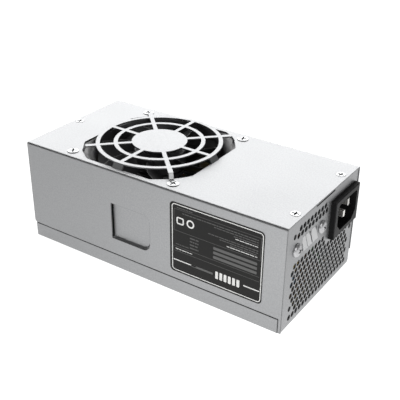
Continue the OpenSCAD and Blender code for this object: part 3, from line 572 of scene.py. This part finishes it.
def square_radius(angle, half, corner):
    """Distance from the centre of a square with round corners to its edge, in this direction."""
    c, s = abs(math.cos(angle)), abs(math.sin(angle))
    plain = half / max(c, s)
    core = half - corner
    if min(c, s) * plain <= core:
        return plain
    along = core * (c + s)
    return along + math.sqrt(max(along * along - 2 * core * core + corner * corner, 0.0))


def duct_radius(angle, down):
    """Inside radius of the frame this far below its top."""
    reach = min(square_radius(angle, FLARE_SQUARE, FLARE_CORNER), FLARE_MOST) - DUCT_RADIUS
    return DUCT_RADIUS + max(reach, 0.0) * max(0.0, 1 - down / FLARE_DEPTH) ** 1.6


def frame_section(angle, half, depth):
    """Closed loop round the frame's wall and its two flanges, in this direction."""
    lip, cut = FRAME_LIP, FRAME_CHAMFER
    edge = square_radius(angle, half, FRAME_CORNER)
    wall = DUCT_RADIUS + DUCT_WALL
    flared_wall = max(wall, duct_radius(angle, FLANGE) + DUCT_WALL)
    mouth = [(duct_radius(angle, 0.0) + lip, depth), (duct_radius(angle, lip), depth - lip)]
    flare = [(duct_radius(angle, d), depth - d) for d in (FLARE_DEPTH * k / 6 for k in range(1, 7))]
    bore = [(DUCT_RADIUS, depth * 0.3), (DUCT_RADIUS, lip), (DUCT_RADIUS + lip, 0.0)]
    low_flange = [(edge - lip, 0.0), (edge, lip), (edge, FLANGE - cut), (edge - cut, FLANGE)]
    outside = [(wall, FLANGE), (wall, depth - FLARE_DEPTH - 1 * MM), (flared_wall, depth - FLANGE)]
    high_flange = [(edge - cut, depth - FLANGE), (edge, depth - FLANGE + cut), (edge, depth - lip),
                   (edge - lip, depth)]
    loop = mouth + flare + bore + low_flange + outside + high_flange
    return [Vector((r * math.cos(angle), r * math.sin(angle), z)) for r, z in loop]


def frame_shell(half, depth):
    bm = bmesh.new()
    angles = [math.radians(90 * quarter + d) for quarter in range(4) for d in FRAME_DEGREES]
    add_grid(bm, [frame_section(a, half, depth) for a in angles], closed=True)
    return raw_object(bm)


def frame_pins(radius, z0, z1):
    """Upright cylinders at the four screw places."""
    pins = []
    for sx in (-1, 1):
        for sy in (-1, 1):
            bm = bmesh.new()
            place = at(sx * FAN_SCREW_SPACING / 2, sy * FAN_SCREW_SPACING / 2, 0)
            add_lathe(bm, [(radius, z0), (radius, z1)], 32, place)
            pins.append(raw_object(bm))
    return pins


def motor_seat():
    bm = bmesh.new()
    rise = 2 * MM
    add_lathe(bm, [(SEAT_RADIUS - 0.6 * MM, 0), (SEAT_RADIUS, 0.5 * MM), (SEAT_RADIUS, 1.6 * MM),
                   (SEAT_RADIUS - 0.3 * MM, rise), (0, rise)], 48)
    return raw_object(bm)


def frame_strut(degrees):
    """A bar from the motor seat to the duct that narrows on its way out."""
    bm = bmesh.new()
    outline = [(-1.6, 0), (1.6, 0), (1.6, 1.5), (0.9, 2.4), (-0.9, 2.4), (-1.6, 1.5)]
    rings = [[Vector((r * MM, (1.15 - r / 200) * y * MM, z * MM)) for y, z in outline]
             for r in (14.6, 22, 30, 38.8)]
    bmesh.ops.transform(bm, matrix=about_z(degrees), verts=add_grid(bm, rings))
    return raw_object(bm)


def bearing_hole():
    bm = bmesh.new()
    add_lathe(bm, [(BEARING_BORE, 1 * MM), (BEARING_BORE, 4 * MM)], 32)
    return raw_object(bm)


def lead_slot():
    """The opening in the motor seat through which the lead leaves."""
    bm = bmesh.new()
    add_prism(bm, [(9 * MM, -1.2 * MM), (14 * MM, -1.2 * MM), (14 * MM, 2.8 * MM), (9 * MM, 2.8 * MM)],
              -1 * MM, 4 * MM)
    return raw_object(bm)


def bearing_holder():
    bm = bmesh.new()
    outer, low, high = 4.2 * MM, 1.9 * MM, 10.4 * MM
    add_tube(bm, [(BEARING_BORE, low), (outer, low), (outer, high - 0.3 * MM), (outer - 0.3 * MM, high),
                  (BEARING_BORE, high)], 40)
    return raw_object(bm)


def make_fan_frame(looks):
    """Moulded frame: square flanges, a duct that flares into the corners, posts, struts and motor seat."""
    lo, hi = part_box("fan_frame")
    centre, half, depth = (lo + hi) / 2, (hi.x - lo.x) / 2, hi.z - lo.z
    body = frame_shell(half, depth)
    posts = frame_pins(POST_RADIUS, 1 * MM, depth - 1 * MM)
    struts = [frame_strut(degrees) for degrees in STRUT_DEGREES]
    combine(body, [*posts, motor_seat(), *struts], "UNION")
    holes = frame_pins(POST_HOLE, -1 * MM, depth + 1 * MM)
    combine(body, [*holes, bearing_hole(), lead_slot()], "DIFFERENCE")
    combine(body, [bearing_holder()], "UNION")
    bm = taken_mesh(body, at(centre.x, centre.y, lo.z))
    add_piece("fan_frame_moulding", bm, looks["fan_plastic"], replaces=("fan_frame",))


def blade_section(part, low, high):
    """Loop of points round one blade at this part of the way from the hub to the tip."""
    root = HUB_RADIUS - 0.5 * MM
    radius = root + (BLADE_TIP - root) * part
    sweep = BLADE_SWEEP * part ** 1.5 + math.radians(2.2 - part)
    low += 0.5 * MM * part ** 3
    high -= 0.9 * MM * part ** 3
    thickest, thinnest = (1.5 - 0.5 * part) * MM, 0.28 * MM
    steps = 10
    loop = [(k / steps, 1) for k in range(steps + 1)] + [(k / steps, -1) for k in range(steps, -1, -1)]
    points = []
    for share, side in loop:
        thick = thinnest + thickest * math.sin(math.pi * share) ** 0.8 * (1 - 0.35 * share)
        camber = 0.12 * math.sin(math.pi * share)
        angle = sweep - BLADE_TWIST * (share + camber) + side * thick / 2 / radius
        z = low + (high - low) * share
        points.append(Vector((radius * math.cos(angle), radius * math.sin(angle), z)))
    return points


def hub_cup(low, high):
    """The hub, open below for the motor and sunk round its centre above."""
    hub, cup, roof = HUB_RADIUS, CUP_RADIUS, high - 1.4 * MM
    hollow, boss, near_axis = 9.4 * MM, 1.5 * MM, 0.02 * MM
    side = [(cup, low), (hub - 0.2 * MM, low), (hub, low + 0.2 * MM), (hub, roof)]
    crown = [(hub - 0.35 * MM, high - 0.6 * MM), (hub - 1 * MM, high - 0.15 * MM), (hub - 2 * MM, high)]
    sunk = [(hollow, high), (hollow - 0.2 * MM, high - 0.3 * MM), (near_axis, high - 0.3 * MM)]
    inside = [(near_axis, high - 0.8 * MM), (boss, high - 0.8 * MM), (boss, roof), (cup, roof)]
    bm = bmesh.new()
    add_tube(bm, side + crown + sunk + inside, 96)
    return raw_object(bm)


def impeller_blade(degrees, low, high):
    bm = bmesh.new()
    rings = [blade_section(k / 8, low + 0.2 * MM, high - 0.4 * MM) for k in range(9)]
    bmesh.ops.transform(bm, matrix=about_z(degrees), verts=add_grid(bm, rings))
    return raw_object(bm)


def make_impeller(looks):
    """Hub cup with seven thin curved blades."""
    lo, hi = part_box("fan_impeller")
    centre = (lo + hi) / 2
    body = hub_cup(lo.z, hi.z)
    blades = [impeller_blade(360 * i / BLADES, lo.z, hi.z) for i in range(BLADES)]
    combine(body, blades, "UNION")
    bm = taken_mesh(body, at(centre.x, centre.y, 0))
    add_piece("fan_impeller_moulding", bm, looks["fan_plastic"], body="fan_rotor",
              replaces=("fan_impeller",), smooth_angle=40)


# ---------- printing on the label ----------

# Its lengths are in millimetres from the label's lower corner
PRINT_THICKNESS = 0.02
SHORTEST_DASH, LONGEST_DASH, DASH_GAP = 1.0, 3.4, 0.35
FIELD_LEFT, FIELD_RIGHT = 2.9, 56.2
TEXT_RIGHT = 54.7
BAND_Z = 7.7


def add_bar(bm, place, x0, x1, z, height, corner=0.0):
    """A printed bar from x0 to x1, centred on the height z."""
    if corner:
        outline = rounded_rectangle(x1 - x0, height, corner, ((x0 + x1) / 2, z))
    else:
        low, high = z - height / 2, z + height / 2
        outline = [(x0, low), (x1, low), (x1, high), (x0, high)]
    add_prism(bm, outline, 0, PRINT_THICKNESS, place)


def add_outline(bm, place, x0, x1, z0, z1, line, corner):
    """A printed rounded frame whose line is centred on these edges."""
    middle = ((x0 + x1) / 2, (z0 + z1) / 2)
    rings = []
    for grow, depth in ((line, 0), (line, PRINT_THICKNESS), (-line, PRINT_THICKNESS), (-line, 0)):
        outline = rounded_rectangle(x1 - x0 + grow, z1 - z0 + grow, corner + grow / 2, middle)
        rings.append([Vector((x, z, depth)) for x, z in outline])
    bmesh.ops.transform(bm, matrix=place, verts=add_grid(bm, rings, closed=True))


def add_dashes(bm, place, x0, x1, z, height):
    """A row of short dashes of uneven lengths."""
    x = x0
    while x < x1 - 0.5:
        end = min(x + random.uniform(SHORTEST_DASH, LONGEST_DASH), x1)
        add_bar(bm, place, x, end, z, height)
        x = end + DASH_GAP


def print_white(bm, place):
    """A frame, two rules, a row of blocks, a hollow square, a ring and three rows of dashes."""
    add_outline(bm, place, 1.6, 57.2, 1.25, 42.5, 0.5, 1.8)
    for x0, x1 in ((2.3, 17.2), (47, 56.5)):
        add_bar(bm, place, x0, x1, 7.85, 0.65)
    for i in range(6):
        x0 = 29.6 + 2.65 * i
        add_bar(bm, place, x0, x0 + 1.75, BAND_Z, 4.6, 0.4)
    add_outline(bm, place, 4.8, 8.8, 31.2, 34.8, 0.8, 0.7)
    add_outline(bm, place, 11.4, 15.4, 31.2, 35.2, 0.9, 1.9)
    for x0, z in ((41.2, 34.0), (36.2, 27.9)):
        add_dashes(bm, place, x0, TEXT_RIGHT, z, 0.4)
    add_dashes(bm, place, 3.7, 14.7, 15.1, 0.4)


def print_grey(bm, place):
    """Three broad bars, and a narrow one between the rule and the blocks."""
    add_bar(bm, place, 14, 28, BAND_Z, 1.2)
    for z in (18.4, 21.15, 23.9):
        add_bar(bm, place, 28, 54.5, z, 1.7, 0.5)


def print_dim(bm, place):
    """The field's hairlines, and rows of dashes where such a label has its small print."""
    for z in (39.7, 26.5, 16.5, 13.7):
        add_bar(bm, place, FIELD_LEFT, FIELD_RIGHT, z, 0.25)
    for x in (FIELD_LEFT, FIELD_RIGHT):
        add_bar(bm, place, x - 0.12, x + 0.12, 33.1, 12.9)
    for x0, z in ((8.2, 38.0), (28.2, 36.6), (40.2, 35.2), (24.7, 31.7), (31.7, 30.4), (38.2, 29.1)):
        add_dashes(bm, place, x0, TEXT_RIGHT, z, 0.55)
    add_dashes(bm, place, 4.7, 14.7, 40.7, 0.5)
    for z in (18.6, 20.6, 22.6, 24.6):
        add_dashes(bm, place, 13.1, 18.7, z, 0.8)
    add_dashes(bm, place, 3.9, 12.4, 18.1, 0.5)


# Each ink: its name, its brightness and the function that draws it
INKS = (("white", 0.88, print_white), ("grey", 0.1, print_grey), ("dim", 0.07, print_dim))


def make_label_print():
    """One piece for each ink."""
    lo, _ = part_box("side_label")
    place = at(lo.x, lo.y, lo.z, "-Y") @ Matrix.Scale(MM, 4)
    for name, level, draw in INKS:
        bm = bmesh.new()
        draw(bm, place)
        ink = surface("ink_" + name, (level, level, level * 0.98), 0.5, grain=0.12 * MM,
                      grain_depth=0.002 * MM, grain_tint=0.06, clouds=5 * MM, cloud_tint=0.06,
                      edge=0.01 * MM)
        add_piece("label_print_" + name, bm, ink.material)


# ---------- stage, light and camera ----------

# Softboxes: place, the point they face, their two sides and their power in watts
SOFTBOXES = {
    "back_left": ((-0.55, 0.9, 0.7), (0, 0, 0), (1.7, 1.2), 20.5),
    "right_front": ((0.83, -0.54, 0.68), (0, 0, 0.03), (0.5, 0.5), 4.2),
    "front_left": ((-0.55, -0.9, 0.53), (0, 0, 0.03), (0.5, 0.5), 0.4),
}


def make_stage():
    """A white sweep that glows evenly, with a brighter pool in front of the label."""
    bm = bmesh.new()
    reach = 4.0
    steps = 8
    rows = [[bm.verts.new((-reach + 2 * reach * i / steps, -reach + 2 * reach * j / steps, 0.0))
             for i in range(steps + 1)] for j in range(steps + 1)]
    for j in range(steps):
        for i in range(steps):
            bm.faces.new((rows[j][i], rows[j][i + 1], rows[j + 1][i + 1], rows[j + 1][i]))
    mesh = bpy.data.meshes.new("floor")
    bm.to_mesh(mesh)
    bm.free()
    floor = bpy.data.objects.new("floor", mesh)
    bpy.context.scene.collection.objects.link(floor)
    look = Look("pale_floor", 0.9)
    tone = look.mix(look.noise(0.4, 2.0), (0.18, 0.18, 0.18), (0.2, 0.2, 0.2))
    distance = look.node("ShaderNodeVectorMath", operation="DISTANCE")
    look.feed(distance.inputs[0], look.place)
    distance.inputs[1].default_value = POOL_CENTRE
    glow = look.remap(distance.outputs["Value"], POOL_RADIUS, 0.0, FLOOR_GLOW, POOL_GLOW)
    look.set(Base_Color=tone, Emission_Color=(1, 1, 1), Emission_Strength=glow)
    mesh.materials.append(look.material)


def add_softbox(name, place, aim, size, power):
    data = bpy.data.lights.new(name, "AREA")
    data.shape = "RECTANGLE"
    data.size, data.size_y = size
    data.energy = power
    light = bpy.data.objects.new(name, data)
    bpy.context.scene.collection.objects.link(light)
    light.location = place
    light.rotation_euler = (Vector(aim) - Vector(place)).to_track_quat("-Z", "Y").to_euler()


def make_light():
    world = bpy.data.worlds.new("studio")
    world.use_nodes = True
    background = world.node_tree.nodes["Background"]
    background.inputs["Color"].default_value = (1, 1, 1, 1)
    background.inputs["Strength"].default_value = WORLD_LEVEL
    bpy.context.scene.world = world
    bpy.context.scene.view_settings.view_transform = "Standard"
    for name, softbox in SOFTBOXES.items():
        add_softbox(name, *softbox)


def make_camera():
    data = bpy.data.cameras.new("camera")
    data.sensor_width, data.lens = SENSOR, CAMERA_LENS
    data.clip_start, data.clip_end = 0.01, 20
    camera = bpy.data.objects.new("camera", data)
    bpy.context.scene.collection.objects.link(camera)
    aim = (CAMERA_AT - CAMERA_FROM).to_track_quat("-Z", "Y").to_matrix().to_4x4()
    camera.matrix_world = Matrix.Translation(CAMERA_FROM) @ aim @ Matrix.Rotation(CAMERA_ROLL, 4, "Z")
    bpy.context.scene.camera = camera


make_camera()
make_stage()
make_light()
LOOKS = make_looks() | make_variants()
dress_cad_nodes(LOOKS)
make_cover_screws(LOOKS)
make_fan_screws(LOOKS)
make_selector_screws(LOOKS)
make_fan_frame(LOOKS)
make_impeller(LOOKS)
make_label_print()
